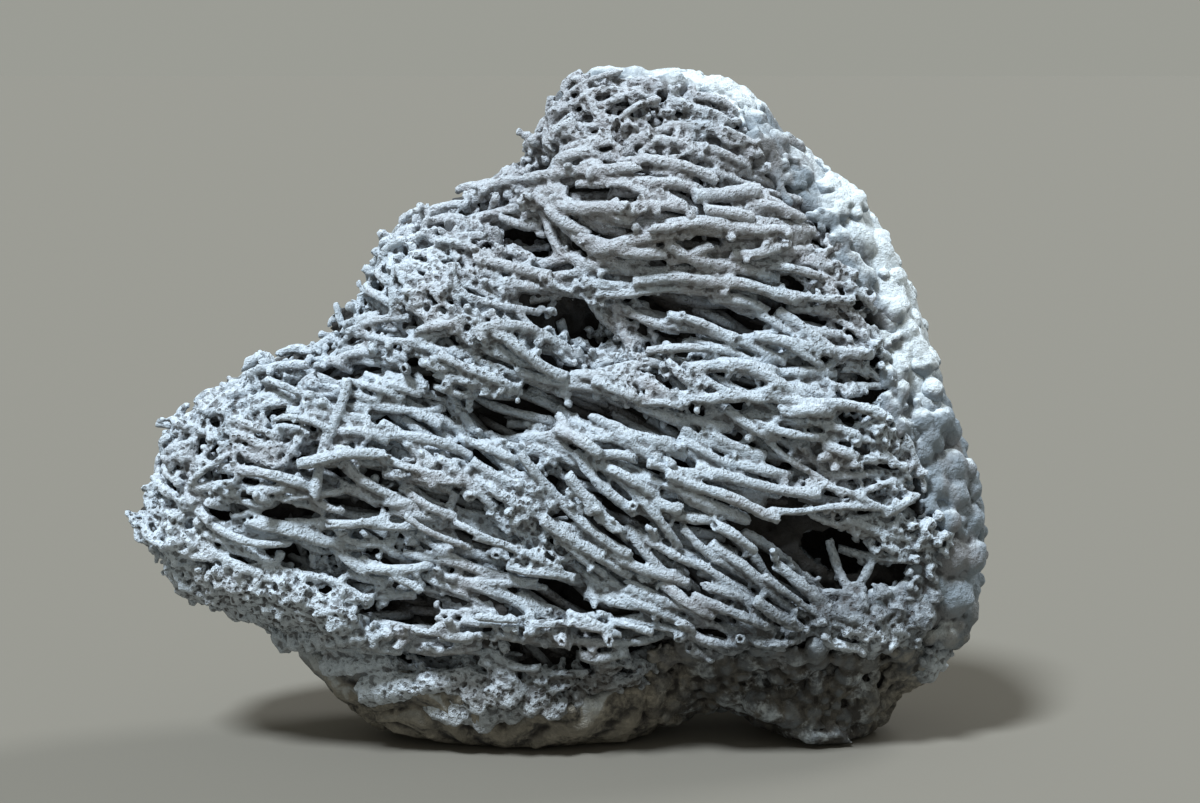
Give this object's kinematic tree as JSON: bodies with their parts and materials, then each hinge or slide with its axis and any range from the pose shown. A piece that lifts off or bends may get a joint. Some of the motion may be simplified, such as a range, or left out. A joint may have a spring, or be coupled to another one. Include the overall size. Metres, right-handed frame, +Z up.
{
  "type": "tufa rock",
  "caption": "Hand-broken block of porous lime tufa with a broken face of matted plant stem casts and a knobbly pale rind.",
  "frame": {"origin": "centre of the block's box in plan, at the level of the flat base", "axes": "+Z up, +X along the block's width, and the broken face looks towards -Y"},
  "size_m": [0.3326, 0.1206, 0.2628],
  "materials": {
    "lime": "matte"
  },
  "bodies": {
    "root": {"tufa": "lime"}
  },
  "joints": []
}
